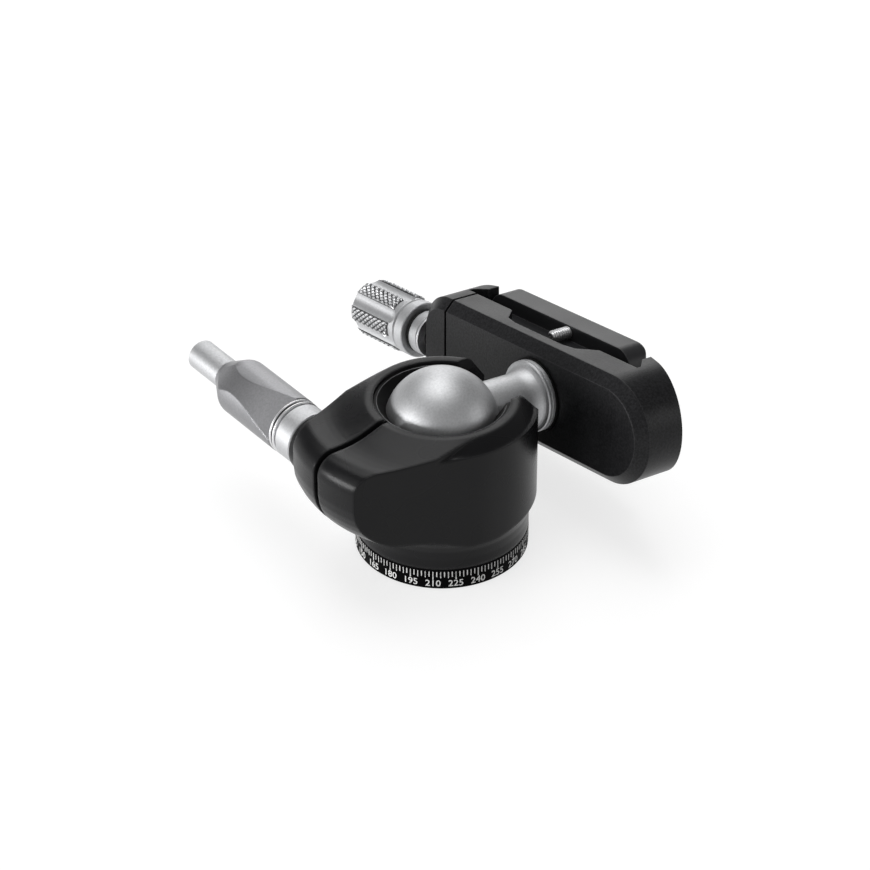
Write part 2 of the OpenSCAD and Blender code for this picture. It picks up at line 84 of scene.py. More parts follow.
# Knurl: a grid of diamonds with a raised top on each, faded out at both ends
KNURL_HALF_TURN = math.radians(14.8)
KNURL_LOW = KNOB_IN + 1.5
KNURL_HIGH = KNOB_OUT - 0.5
KNURL_WIDE = 0.84
KNURL_TALL = 1.14
KNURL_CELLS = 24
KNURL_SLOPE = 0.2
KNURL_SKIRT = 0.35
KNURL_LAND = 0.15
KNURL_RISE = 0.28
KNURL_FADE_HIGH = 1.1
KNURL_FADE_LOW = 0.6
KNURL_FADE_START = 0.3

# Lock lever's collar, heights measured along the lever
LEVER_X = -16.0
LEVER_Z = 18.5
LOCK_R = 2.0
COLLAR_R = 4.45
COLLAR_Y = 13.9
COLLAR_LEN = 1.2
COLLAR_LAND = 0.42
COLLAR_GROOVE = 0.5
COLLAR_SEAL_SUNK = 0.42
COLLAR_SEAL_THICK = 0.36

# Painted highlight ring on the rim of the ball's seat, open toward the drop notch
SEAT_R = 9.5
SEAT_Z = 24.62
SEAT_HIGHLIGHT_WIRE_R = 0.07
SEAT_NOTCH_X = 6.6

# Plate, its stop screws and its pads
MID_Y = 4.0
PLATE_S = 23.6
PLATE_TOP = 30.3
PLATE_LO = -13.0
PLATE_HI = 8.0
PLATE_LEN = 21.0
SLAB_S = 26.4
STOP_Y = 3.1
STOP_R = 0.95
STOP_THREAD = 0.18
STOP_IN = 1.15
STOP_TIP = 23.0
STOP_END = 29.0
STOP_PITCH = 0.42
STOP_SOCKET_R = 0.5
STOP_SOCKET_DEPTH = 0.8
STOP_STEPS = 40
STOP_RIDGE_STEPS = 24
PAD_Y = 9.2
PAD_HALF = 3.3
PAD_RIBS = 11
PAD_THICK = 0.9
PAD_SUNK = 0.5
PAD_MARGIN = 2.6
RIB_SLOPE = 0.28
RIB_DROP = 0.22
RIB_CREST = 0.1

# Camera screw, and the bush for the tripod screw
INCH_PITCH = 1.27
SCREW_C = -2.5
CAMERA_R = 3.15
CAMERA_H = 4.5
CAMERA_THREAD = 0.55
CAMERA_TIP = (0.5, 0.4)
HEAD_R = 5.0
HEAD_LOW = PLATE_S + 0.3
HEAD_TOP = PLATE_S + 3
RELIEF_R = 2.6
RELIEF_LOW = PLATE_TOP - 0.75
RELIEF_TOP = PLATE_TOP - 0.15
COIN_SLOT = (1.0, 12, 1.6)
BUSH_R = 4.075
BUSH_H = 4.2
BUSH_LEAD = 0.3
THREAD_MINOR = 2.575
THREAD_MAJOR = 3.15

# Thread ridges: half widths at root and crest, and the fade at the ends, in pitches
RIDGE_ROOT = 0.43
RIDGE_CREST = 0.07
RIDGE_FADE = 0.6

# Width of the edge mask, where edges get painted highlight and wear, and depths of surface grain,
# in metres
EDGE_MASK_WIDTH = 0.00022
PIT_DEPTH = 0.00002
LINE_DEPTH = 0.00001
PLASTIC_DEPTH = 0.00003

# Lamps: name, place and size in metres, power in watts
LAMPS = (
    ("top_softbox", (0.05, 0.20, 0.57), (0.42, 0.42), 1.6),
    ("over_softbox", (0.0, 0.0, 0.60), (0.30, 0.30), 0.3),
    ("back_softbox", (0.30, 0.38, 0.37), (0.24, 0.24), 0.42),
    ("back_low_strip", (0.35, 0.47, 0.15), (0.30, 0.12), 0.28),
    ("left_strip", (-0.58, 0.20, 0.06), (0.26, 0.12), 2.3),
    ("left_softbox", (-0.48, 0.18, 0.32), (0.24, 0.24), 0.22),
    ("left_front_strip", (-0.60, -0.06, 0.08), (0.20, 0.12), 0.8),
    ("right_front_fill", (0.45, -0.40, 0.20), (0.25, 0.25), 0.4),
    ("front_fill", (-0.10, -0.55, 0.35), (0.25, 0.25), 0.15),
)
LAMP_AIM = (0, 0, 0.015)

# Camera, in metres; the sensor and lens are in millimetres
CAMERA_AT = (-0.206696, -0.274294, 0.249426)
CAMERA_AIM = (0, 0, 0.01417)
CAMERA_SENSOR = 36.0
CAMERA_LENS = 116.77
CAMERA_SHIFT = (-0.00778, 0.02837)
CAMERA_CLIP = (0.01, 20)

# Floor and world: levels of light, distances on the floor in metres
FLOOR_SIZE = 4
FLOOR_Z = -0.00002
FLOOR_GREY = 0.32
FLOOR_NEAR, FLOOR_FAR = 0.12, 0.7
FLOOR_GLOW_NEAR, FLOOR_GLOW_FAR = 0.74, 1.0
HORIZON_TOP, CEILING_FROM = 0.02, 0.35
CEILING_LEVEL = 0.18
AMBIENT_LEVEL = 0.3

ON_BALL = (Matrix.Translation((0, 0, BALL_Z * MM))
           @ Matrix.Rotation(DROOP, 4, "Y") @ Matrix.Rotation(-ROLL, 4, "X"))
ON_SPINDLE = (ON_BALL @ Matrix.Translation((SPINDLE_S * MM, 0, SPINDLE_C * MM))
              @ Matrix.Rotation(-QUARTER_TURN, 4, "X"))
ON_LEVER = (Matrix.Translation((LEVER_X * MM, 0, LEVER_Z * MM))
            @ Matrix.Rotation(-QUARTER_TURN, 4, "X"))


def on_plate(y, c):
    # A piece turned about Z, laid along the stem at this place on the plate
    return (ON_BALL @ Matrix.Translation((0, y * MM, c * MM))
            @ Matrix.Rotation(QUARTER_TURN, 4, "Y"))


# Shared surface effects

def group(name, inputs, outputs):
    tree = bpy.data.node_groups.new(name, "ShaderNodeTree")
    for label, kind, value in inputs:
        socket = tree.interface.new_socket(name=label, in_out="INPUT", socket_type=kind)
        if value is not None:
            socket.default_value = value
    for label, kind in outputs:
        tree.interface.new_socket(name=label, in_out="OUTPUT", socket_type=kind)
    source = tree.nodes.new("NodeGroupInput")
    sink = tree.nodes.new("NodeGroupOutput")
    return tree, source, sink


def feed(tree, socket, value):
    # A number is set on the socket, anything else is linked to it
    if isinstance(value, (int, float)):
        socket.default_value = value
    else:
        tree.links.new(value, socket)


def math_node(tree, operation, a, b, clamp=False):
    node = tree.nodes.new("ShaderNodeMath")
    node.operation = operation
    node.use_clamp = clamp
    feed(tree, node.inputs[0], a)
    feed(tree, node.inputs[1], b)
    return node.outputs[0]


def noise_node(tree, vector, scale, detail, rough):
    node = tree.nodes.new("ShaderNodeTexNoise")
    node.inputs["Detail"].default_value = detail
    node.inputs["Roughness"].default_value = rough
    tree.links.new(vector, node.inputs["Vector"])
    feed(tree, node.inputs["Scale"], scale)
    return node.outputs["Fac"]


def map_range(tree, value, low, high, to_low=0.0, to_high=1.0):
    node = tree.nodes.new("ShaderNodeMapRange")
    node.inputs["From Min"].default_value = low
    node.inputs["From Max"].default_value = high
    feed(tree, node.inputs["To Min"], to_low)
    feed(tree, node.inputs["To Max"], to_high)
    tree.links.new(value, node.inputs["Value"])
    return node.outputs["Result"]


def blast_group():
    # Bead-blasted skin: pits for the bump, a slow drift of tone, specks and a finer grain
    tree, source, sink = group(
        "blasted_skin",
        [("Place", "NodeSocketVector", None), ("Pit size", "NodeSocketFloat", 9.0)],
        [("Pits", "NodeSocketFloat"), ("Drift", "NodeSocketFloat"),
         ("Specks", "NodeSocketFloat"), ("Grain", "NodeSocketFloat")])
    place = source.outputs["Place"]
    pits = noise_node(tree, place, source.outputs["Pit size"], detail=2.0, rough=0.6)
    slow = noise_node(tree, place, scale=0.12, detail=2.0, rough=0.5)
    fine = noise_node(tree, place, scale=3.1, detail=3.0, rough=0.6)
    tree.links.new(pits, sink.inputs["Pits"])
    tree.links.new(map_range(tree, slow, low=0.3, high=0.7), sink.inputs["Drift"])
    tree.links.new(map_range(tree, fine, low=0.6, high=0.78), sink.inputs["Specks"])
    tree.links.new(map_range(tree, fine, low=0.35, high=0.68), sink.inputs["Grain"])
    return tree


def edge_group():
    # Edge mask for painted edge highlight and wear: where the rounded normal is turned away from
    # the flat one
    tree, source, sink = group(
        "edge_mask_and_rounding",
        [("Width", "NodeSocketFloat", 0.00015), ("Break-up", "NodeSocketFloat", 0.5)],
        [("Edge", "NodeSocketFloat"), ("Rounded", "NodeSocketVector")])
    bevel = tree.nodes.new("ShaderNodeBevel")
    bevel.samples = 4
    tree.links.new(source.outputs["Width"], bevel.inputs["Radius"])
    geometry = tree.nodes.new("ShaderNodeNewGeometry")
    dot = tree.nodes.new("ShaderNodeVectorMath")
    dot.operation = "DOT_PRODUCT"
    tree.links.new(bevel.outputs["Normal"], dot.inputs[0])
    tree.links.new(geometry.outputs["Normal"], dot.inputs[1])
    away = map_range(tree, dot.outputs["Value"], low=0.995, high=0.85)
    edge_amount = math_node(tree, "MULTIPLY", away, source.outputs["Break-up"], clamp=True)
    tree.links.new(edge_amount, sink.inputs["Edge"])
    tree.links.new(bevel.outputs["Normal"], sink.inputs["Rounded"])
    return tree


def lathe_group():
    # Fine turning lines, from the sum of the places along and out from an axis
    tree, source, sink = group(
        "turning_lines",
        [("Along", "NodeSocketFloat", 0.0), ("Out", "NodeSocketFloat", 0.0),
         ("Lines per mm", "NodeSocketFloat", 14.0)],
        [("Lines", "NodeSocketFloat")])
    place = math_node(tree, "ADD", source.outputs["Along"], source.outputs["Out"])
    combine = tree.nodes.new("ShaderNodeCombineXYZ")
    count = math_node(tree, "MULTIPLY", place, source.outputs["Lines per mm"])
    tree.links.new(count, combine.inputs["X"])
    lines = noise_node(tree, combine.outputs["Vector"], scale=1.0, detail=2.0, rough=0.7)
    tree.links.new(lines, sink.inputs["Lines"])
    return tree


BLAST = blast_group()
EDGE = edge_group()
LATHE = lathe_group()


# Finishes

class Finish:
    # A Principled material with its places in millimetres of the object's own frame
    def __init__(self, name):
        self.material = bpy.data.materials.new(name)
        self.material.use_nodes = True
        self.tree = self.material.node_tree
        self.shader = next(n for n in self.tree.nodes if n.type == "BSDF_PRINCIPLED")
        coordinates = self.tree.nodes.new("ShaderNodeTexCoord")
        mapping = self.tree.nodes.new("ShaderNodeMapping")
        mapping.inputs["Scale"].default_value = (1 / MM, 1 / MM, 1 / MM)
        self.tree.links.new(coordinates.outputs["Object"], mapping.inputs["Vector"])
        self.place = mapping.outputs["Vector"]

    def use(self, tree, **values):
        node = self.tree.nodes.new("ShaderNodeGroup")
        node.node_tree = tree
        for label, value in values.items():
            feed(self.tree, node.inputs[label.replace("_", " ")], value)
        return node.outputs

    def blast(self, pit):
        return self.use(BLAST, Place=self.place, Pit_size=pit)

    def mix(self, mask, a, b):
        node = self.tree.nodes.new("ShaderNodeMix")
        node.data_type = "RGBA"
        self.tree.links.new(mask, node.inputs["Factor"])
        for slot, colour in ((6, a), (7, b)):
            if isinstance(colour, tuple):
                node.inputs[slot].default_value = (*colour, 1.0)
            else:
                self.tree.links.new(colour, node.inputs[slot])
        return node.outputs[2]

    def vary(self, mask, low, high):
        # A value that runs from low to high with the mask
        return map_range(self.tree, mask, 0, 1, low, high)

    def bump(self, height, distance, strength, normal=None):
        node = self.tree.nodes.new("ShaderNodeBump")
        node.inputs["Strength"].default_value = strength
        node.inputs["Distance"].default_value = distance
        self.tree.links.new(height, node.inputs["Height"])
        if normal is not None:
            self.tree.links.new(normal, node.inputs["Normal"])
        return node.outputs["Normal"]

    def set(self, **values):
        for label, value in values.items():
            feed(self.tree, self.shader.inputs[label.replace("_", " ")], value)
        return self.material


def shade(tone, factor):
    return tuple(min(1.0, c * factor) for c in tone)


def anodised_black(name, tone, highlight_and_wear_tone, rough, gloss, pit=9.0, soft=EDGE_MASK_WIDTH, grain=0.0):
    # Soft is the reach of the rounded normal, wide where it has to hide small facets
    f = Finish(name)
    skin = f.blast(pit)
    edge = f.use(EDGE, Width=EDGE_MASK_WIDTH)
    rounded = edge["Rounded"]
    if soft > EDGE_MASK_WIDTH:
        rounded = f.use(EDGE, Width=soft)["Rounded"]
    colour = f.mix(skin["Drift"], shade(tone, 0.78), tone)
    if grain:
        colour = f.mix(skin["Grain"], colour, shade(tone, 1 + grain))
    # Edges painted lighter: painted edge highlight, together with wear
    colour = f.mix(edge["Edge"], colour, highlight_and_wear_tone)
    return f.set(Base_Color=colour, Specular_IOR_Level=gloss,
                 Roughness=f.vary(skin["Drift"], rough - 0.03, rough + 0.04),
                 Normal=f.bump(skin["Pits"], PIT_DEPTH, 0.28 + 0.3 * grain, rounded))


def blasted_metal(name, tone, rough, pit=8.0, edges=1.18, width=0.00012):
    f = Finish(name)
    skin = f.blast(pit)
    edge = f.use(EDGE, Width=width)
    colour = f.mix(skin["Drift"], shade(tone, 0.9), tone)
    colour = f.mix(skin["Grain"], colour, shade(tone, 0.82))
    # Tone along the edges set by the edges factor: lighter on the silvers, a painted edge highlight
    # with wear; darker on the grey anodising
    colour = f.mix(edge["Edge"], colour, shade(tone, edges))
    return f.set(Base_Color=colour, Metallic=1.0,
                 Roughness=f.vary(skin["Specks"], rough, rough + 0.08),
                 Normal=f.bump(skin["Pits"], PIT_DEPTH, 0.3, edge["Rounded"]))


def turned_steel(name, tone, rough):
    f = Finish(name)
    skin = f.blast(5.0)
    edge = f.use(EDGE, Width=0.0001)
    split = f.tree.nodes.new("ShaderNodeSeparateXYZ")
    f.tree.links.new(f.place, split.inputs["Vector"])
    lines = f.use(LATHE, Along=split.outputs["X"], Out=split.outputs["Z"])["Lines"]
    colour = f.mix(skin["Drift"], shade(tone, 0.86), tone)
    roughness = map_range(f.tree, lines, 0.3, 0.7, rough - 0.05, rough + 0.08)
    return f.set(Base_Color=colour, Metallic=1.0, Roughness=roughness,
                 Normal=f.bump(lines, LINE_DEPTH, 0.25, edge["Rounded"]))


def plain_plastic(name, tone, rough, gloss=0.25, pit=4.0):
    f = Finish(name)
    skin = f.blast(pit)
    edge = f.use(EDGE, Width=0.00015)
    colour = f.mix(skin["Drift"], shade(tone, 0.8), tone)
    return f.set(Base_Color=colour, Specular_IOR_Level=gloss,
                 Roughness=f.vary(skin["Specks"], rough, rough + 0.1),
                 Normal=f.bump(skin["Pits"], PLASTIC_DEPTH, 0.3, edge["Rounded"]))


def knurled_metal(name, tone, rough):
    # Silver with painted shade in the grooves of the knurl, darker than its crests
    f = Finish(name)
    skin = f.blast(8.0)
    crest = f.tree.nodes.new("ShaderNodeAttribute")
    crest.attribute_name = "crest"
    raised = map_range(f.tree, crest.outputs["Fac"], low=0.05, high=0.8)
    colour = f.mix(skin["Drift"], shade(tone, 0.9), tone)
    # Painted shade in the knurl's grooves: the low parts darkened
    colour = f.mix(raised, shade(tone, 0.2), colour)
    return f.set(Base_Color=colour, Metallic=1.0,
                 Roughness=f.vary(skin["Specks"], rough, rough + 0.08),
                 Normal=f.bump(skin["Pits"], PIT_DEPTH, 0.3))


def scale_white(name):
    f = Finish(name)
    skin = f.blast(6.0)
    colour = f.mix(skin["Specks"], (0.86, 0.86, 0.85), (0.7, 0.7, 0.69))
    return f.set(Base_Color=colour, Roughness=f.vary(skin["Drift"], 0.5, 0.6))


FINISH = {
    "black_anodised": anodised_black("satin_black", (0.010, 0.010, 0.0107), (0.05, 0.05, 0.053),
                                     rough=0.27, gloss=0.15, soft=0.0007),
    "dial_black": anodised_black("dial_black", (0.003, 0.003, 0.0032), (0.015, 0.015, 0.016),
                                 rough=0.42, gloss=0.015),
    "clamp_black": anodised_black("clamp_black", (0.008, 0.008, 0.0086), (0.09, 0.09, 0.095),
                                  rough=0.34, gloss=0.15, pit=3.4, grain=1.5),
    "plate_black": anodised_black("plate_black", (0.022, 0.022, 0.0235), (0.14, 0.14, 0.145),
                                  rough=0.34, gloss=0.22),
    "blasted_silver": blasted_metal("blasted_silver", (0.55, 0.555, 0.565), rough=0.52),
    "grey_anodised": blasted_metal("grey_anodised", (0.30, 0.30, 0.31), rough=0.42,
                                   edges=0.3, width=0.0003),
    "bright_ring": blasted_metal("bright_ring", (0.8, 0.8, 0.81), rough=0.42),
    "steel": turned_steel("turned_steel", (0.5, 0.5, 0.51), rough=0.3),
    "liner_plastic": plain_plastic("black_plastic", (0.004, 0.004, 0.004), rough=0.45, gloss=0.08),
    "bearing_plastic": plain_plastic("pale_plastic", (0.72, 0.70, 0.64), rough=0.4),
    "pad_rubber": plain_plastic("black_rubber", (0.012, 0.012, 0.012), rough=0.75, gloss=0.2,
                                pit=2.5),
}
WHITE = scale_white("scale_white")
KNURLED = knurled_metal("knurled_silver", (0.62, 0.625, 0.635), rough=0.4)

for row in frame["record"]["subparts"]:
    solid = nodes[row["node"]]
    solid.data.materials.clear()
    solid.data.materials.append(FINISH[row["material_slot"]])


# Modelling helpers

def clear_selection():
    if bpy.context.object and bpy.context.object.mode != "OBJECT":
        bpy.ops.object.mode_set(mode="OBJECT")
    bpy.ops.object.select_all(action="DESELECT")


def select_only(piece):
    clear_selection()
    piece.select_set(True)
    bpy.context.view_layer.objects.active = piece


def start_editing(piece):
    # Edit mode by vertices, with the whole piece selected
    select_only(piece)
    bpy.ops.object.mode_set(mode="EDIT")
    bpy.ops.mesh.select_mode(type="VERT")
    bpy.ops.mesh.select_all(action="SELECT")


def close_up(piece):
    # Doubles merged and faces turned outwards, then back to object mode
    start_editing(piece)
    bpy.ops.mesh.remove_doubles(threshold=0.0005 * MM)
    bpy.ops.mesh.normals_make_consistent(inside=False)
    bpy.ops.object.mode_set(mode="OBJECT")
    return piece


def join(pieces):
    select_only(pieces[0])
    for piece in pieces:
        piece.select_set(True)
    bpy.ops.object.join()
    return bpy.context.object


def apply_modifier(piece, kind, **values):
    select_only(piece)
    modifier = piece.modifiers.new(kind.lower(), kind)
    for label, value in values.items():
        setattr(modifier, label, value)
    bpy.ops.object.modifier_apply(modifier=modifier.name)


def cut_away(piece, cutter):
    # The cutter has just been added, so it is the active object
    bpy.ops.object.transform_apply(location=True, rotation=True, scale=True)
    apply_modifier(piece, "BOOLEAN", object=cutter, operation="DIFFERENCE", solver="EXACT")
    bpy.data.objects.remove(cutter)


def smooth(piece, angle=35):
    select_only(piece)
    bpy.ops.object.shade_smooth_by_angle(angle=math.radians(angle))


def spin_copies(count):
    bpy.ops.mesh.spin(steps=count, angle=FULL_TURN, center=(0, 0, 0), axis=(0, 0, 1), dupli=True)


def turned(profile, steps=72):
    # A turned piece about Z: the profile drawn as radius and height, point by point, then spun
    clear_selection()
    bpy.ops.mesh.primitive_plane_add(size=MM, location=(0, 0, 0))
    piece = bpy.context.object
    start_editing(piece)
    bpy.ops.mesh.merge(type="CENTER")
    last = (0.0, 0.0)
    for i, point in enumerate(profile):
        step = ((point[0] - last[0]) * MM, 0, (point[1] - last[1]) * MM)
        if i == 0:
            bpy.ops.transform.translate(value=step)
        else:
            bpy.ops.mesh.extrude_vertices_move(TRANSFORM_OT_translate={"value": step})
        last = point
    bpy.ops.mesh.select_all(action="SELECT")
    bpy.ops.mesh.spin(steps=steps, angle=FULL_TURN, center=(0, 0, 0), axis=(0, 0, 1))
    return close_up(piece)


def thread_ridge(root, crest, pitch, low, high, sink=0.12, steps=40):
    # A helical ridge from root to crest radius, faded out at both ends
    clear_selection()
    turns = math.ceil((high - low) / pitch)
    bpy.ops.mesh.primitive_plane_add(size=1, location=(0, 0, 0), rotation=(QUARTER_TURN, 0, 0))
    ridge = bpy.context.object
    bpy.ops.object.transform_apply(location=False, rotation=True, scale=False)
    sunk = (root - sink * math.copysign(1, crest - root)) * MM
    for v in ridge.data.vertices:
        at_root = v.co.x < 0
        half = pitch * (RIDGE_ROOT if at_root else RIDGE_CREST)
        height = low + math.copysign(half, v.co.z)
        v.co = (sunk if at_root else crest * MM, 0, height * MM)
    start_editing(ridge)
    bpy.ops.mesh.delete(type="ONLY_FACE")
    bpy.ops.object.mode_set(mode="OBJECT")
    apply_modifier(ridge, "SCREW", angle=FULL_TURN, screw_offset=pitch * MM, iterations=turns,
                   steps=steps, render_steps=steps, use_merge_vertices=True,
                   merge_threshold=0.0001 * MM)
    fade = RIDGE_FADE * pitch
    for v in ridge.data.vertices:
        z = v.co.z / MM
        shown = max(0.0, min(1.0, (z - low) / fade, (high - z) / fade))
        radius = math.hypot(v.co.x, v.co.y)
        faded = sunk + (radius - sunk) * shown
        height = max(low, min(high, z))
        v.co = (v.co.x * faded / radius, v.co.y * faded / radius, height * MM)
    start_editing(ridge)
    bpy.ops.mesh.fill_holes(sides=0)
    bpy.ops.object.mode_set(mode="OBJECT")
    return close_up(ridge)


def finish_piece(piece, name, material, body):
    piece.name = name
    piece.data.name = name
    piece.data.materials.clear()
    piece.data.materials.append(material)
    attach(piece, body)


# White ticks and numbers of the graduated ring

def dial_ticks():
    rings = []
    for count, length, width in DIAL_TICKS:
        clear_selection()
        bpy.ops.mesh.primitive_cube_add(size=1, location=(0, 0, 0))
        tick = bpy.context.object
        start_editing(tick)
        bpy.ops.transform.resize(value=(TICK_THICK * MM, width * MM, length * MM))
        bpy.ops.transform.translate(value=((BASE_R - TICK_SUNK) * MM, 0,
                                           (DIAL_TOP - length / 2) * MM))
        bpy.ops.mesh.bevel(offset=TICK_BEVEL * MM, segments=1, affect="EDGES")
        bpy.ops.mesh.select_all(action="SELECT")
        spin_copies(count)
        rings.append(close_up(tick))
    ticks = join(rings)
    ticks.data.transform(Matrix.Rotation(math.radians(DIAL_AT_ZERO), 4, "Z"))
    finish_piece(ticks, "dial_ticks", WHITE, "base")


def dial_numbers():
    numbers = []
    for value in range(0, 360, DIAL_NUMBER_STEP):
        clear_selection()
        bpy.ops.object.text_add(location=(0, 0, 0))
        text = bpy.context.object
        text.data.body = str(value)
        text.data.align_x = "CENTER"
        text.data.size = DIAL_NUMBER_SIZE * MM
        text.data.offset = DIAL_NUMBER_BOLD * MM
        text.data.extrude = DIAL_NUMBER_THICK * MM
        text.data.resolution_u = 3
        bpy.ops.object.convert(target="MESH")
        at = math.radians(value + DIAL_AT_ZERO)
        for v in text.data.vertices:
            angle = at + v.co.x / (BASE_R * MM)
            r = BASE_R * MM + v.co.z - DIAL_NUMBER_SUNK * MM
            v.co = (r * math.cos(angle), r * math.sin(angle), DIAL_NUMBER_Z * MM + v.co.y)
        numbers.append(text)
    finish_piece(join(numbers), "dial_numbers", WHITE, "base")


# Knob and lever: knurl, rings and collar

def knob_knurl():
    # Diamonds on the panels between the knob's flutes
    low, high = KNURL_LOW * MM, KNURL_HIGH * MM
    clear_selection()
    bpy.ops.mesh.primitive_grid_add(x_subdivisions=KNURL_CELLS, y_subdivisions=KNURL_CELLS,
                                    size=KNURL_CELLS)
    panel = bpy.context.object
    start_editing(panel)
    bpy.ops.transform.rotate(value=math.radians(45), orient_axis="Z", center_override=(0, 0, 0))
    bpy.ops.transform.resize(value=(KNURL_WIDE * MM / math.sqrt(2), KNURL_TALL * MM / math.sqrt(2),
                                    1))
    bpy.ops.transform.translate(value=(0, (low + high) / 2, 0))
    reach = KNURL_HALF_TURN * KNOB_R * MM
    for point, normal in (((reach, 0, 0), (1, 0, 0)), ((-reach, 0, 0), (-1, 0, 0)),
                          ((0, low, 0), (0, -1, 0)), ((0, high, 0), (0, 1, 0))):
        bpy.ops.mesh.select_all(action="SELECT")
        bpy.ops.mesh.bisect(plane_co=point, plane_no=normal, clear_outer=True)
    bpy.ops.mesh.select_all(action="SELECT")
    bpy.ops.mesh.inset(thickness=KNURL_SLOPE * MM, depth=KNURL_RISE * MM, use_individual=True,
                       use_even_offset=True)
    bpy.ops.mesh.select_all(action="SELECT")
    bpy.ops.mesh.region_to_loop()
    bpy.ops.mesh.extrude_edges_move(TRANSFORM_OT_translate={"value": (0, 0, -KNURL_SKIRT * MM)})
    bpy.ops.object.mode_set(mode="OBJECT")
    # Crest height, which the knurled finish reads to paint shade into the grooves
    crest = panel.data.attributes.new("crest", "FLOAT", "POINT")
    for v in panel.data.vertices:
        crest.data[v.index].value = max(0.0, min(1.0, v.co.z / (KNURL_RISE * MM)))
        angle = v.co.x / (KNOB_R * MM)
        to_high = (high - v.co.y) / (KNURL_FADE_HIGH * MM)
        from_low = (v.co.y - low + KNURL_FADE_START * MM) / (KNURL_FADE_LOW * MM)
        ends = max(0.0, min(1.0, to_high, from_low))
        raised = ends * (KNURL_LAND * MM + max(0.0, v.co.z))
        r = KNOB_R * MM + raised + min(0.0, v.co.z)
        v.co = (r * math.cos(angle), r * math.sin(angle), v.co.y)
    start_editing(panel)
    spin_copies(KNOB_PANELS)
    bpy.ops.object.mode_set(mode="OBJECT")
    close_up(panel)
    panel.data.transform(ON_SPINDLE)
    finish_piece(panel, "knob_knurl", KNURLED, "knob")


def knob_thrust_ring():
    # Silver ring behind the knob, in the place of the plain washer
    r, low, high = THRUST_R, JAW_OUT + 0.02, JAW_OUT + 0.48
    ring = turned([(THRUST_R_IN, low), (r - 0.05, low), (r, low + THRUST_EDGE),
                   (r, high - THRUST_EDGE), (r - THRUST_EDGE, high), (THRUST_R_IN, high),
                   (THRUST_R_IN, low)])
    ring.data.transform(ON_SPINDLE)
    smooth(ring)
    finish_piece(ring, "knob_thrust_ring", FINISH["blasted_silver"], "jaw")
    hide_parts("knob_washer")


def seal_ring(name, radius, thick, along, place, body):
    # Black ring in a groove: of the knob's neck, or of the lever's collar
    clear_selection()
    bpy.ops.mesh.primitive_torus_add(major_radius=radius * MM, minor_radius=thick / 2 * MM,
                                     major_segments=64, minor_segments=16)
    seal = bpy.context.object
    start_editing(seal)
    bpy.ops.transform.resize(value=(1, 1, 0.96))
    bpy.ops.transform.translate(value=(0, 0, along * MM))
    bpy.ops.object.mode_set(mode="OBJECT")
    seal.data.transform(place)
    smooth(seal)
    finish_piece(seal, name, FINISH["pad_rubber"], body)


def lever_collar():
    # Two bright rings with a groove between them, at the lever's root
    r, low, high = COLLAR_R, COLLAR_Y, COLLAR_Y + COLLAR_LEN
    a, b = low + COLLAR_LAND, high - COLLAR_LAND
    floor_r = r - COLLAR_GROOVE
    collar = turned([(LOCK_R, low), (r - 0.18, low), (r, low + 0.14),
                     (r, a - 0.12), (r - 0.12, a), (floor_r, a),
                     (floor_r, b), (r - 0.12, b), (r, b + 0.12),
                     (r, high - 0.14), (r - 0.18, high), (LOCK_R, high), (LOCK_R, low)], 96)
    collar.data.transform(ON_LEVER)
    smooth(collar)
    finish_piece(collar, "lever_collar", FINISH["bright_ring"], "handle")
    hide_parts("handle_collar")


# Threaded pieces

def camera_screw():
    # Head with a coin slot, a narrow neck and a thread
    core = CAMERA_R - CAMERA_THREAD
    top = PLATE_TOP + CAMERA_H
    tip_in, tip_down = CAMERA_TIP
    screw = turned([(0, HEAD_LOW), (HEAD_R - 0.25, HEAD_LOW), (HEAD_R, HEAD_LOW + 0.25),
                    (HEAD_R, HEAD_TOP - 0.2), (HEAD_R - 0.2, HEAD_TOP), (CAMERA_R, HEAD_TOP),
                    (CAMERA_R, RELIEF_LOW), (RELIEF_R, RELIEF_LOW), (RELIEF_R, RELIEF_TOP),
                    (core, RELIEF_TOP), (core, top - tip_down), (core - tip_in, top), (0, top)])
    clear_selection()
    bpy.ops.mesh.primitive_cube_add(size=1, location=(0, 0, (HEAD_LOW + 0.3) * MM),
                                    scale=[side * MM for side in COIN_SLOT])
    cut_away(screw, bpy.context.object)
    ridge = thread_ridge(core, CAMERA_R, INCH_PITCH, RELIEF_TOP + 0.45, top - 0.1)
    screw = join([screw, ridge])
    screw.data.transform(on_plate(MID_Y, SCREW_C))
    smooth(screw)
    finish_piece(screw, "camera_screw_threaded", FINISH["steel"], "camera_screw")
    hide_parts("camera_screw")


def tripod_bush():
    # Steel bush in the base with its inner thread
    bush = turned([(THREAD_MAJOR, BUSH_LEAD), (THREAD_MAJOR + BUSH_LEAD, 0), (BUSH_R, 0),
                   (BUSH_R, BUSH_H), (THREAD_MAJOR, BUSH_H), (THREAD_MAJOR, BUSH_LEAD)])
    ridge = thread_ridge(THREAD_MAJOR, THREAD_MINOR, INCH_PITCH, 0.45, BUSH_H - 0.1)
    bush = join([bush, ridge])
    smooth(bush)
    finish_piece(bush, "tripod_bush", FINISH["steel"], "base")
    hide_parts("base_insert")


def stop_screw(name, across, tip):
    # Stop screw of the plate, threaded, with a hexagon socket in its tip
    core = STOP_R - STOP_THREAD
    end = STOP_END - 0.05
    screw = turned([(0, tip), (core - 0.12, tip), (core, tip + 0.15), (core, end), (0, end)],
                   STOP_STEPS)
    clear_selection()
    bpy.ops.mesh.primitive_cylinder_add(vertices=6, radius=STOP_SOCKET_R * MM,
                                        depth=2 * STOP_SOCKET_DEPTH * MM, location=(0, 0, tip * MM))
    cut_away(screw, bpy.context.object)
    ridge = thread_ridge(core, STOP_R, STOP_PITCH, tip + 0.1, STOP_END - 0.1, sink=0.06,
                         steps=STOP_RIDGE_STEPS)
    screw = join([screw, ridge])
    screw.data.transform(on_plate(STOP_Y, across))
    smooth(screw)
    finish_piece(screw, name + "_threaded", FINISH["bright_ring"], "plate")
    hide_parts(name)
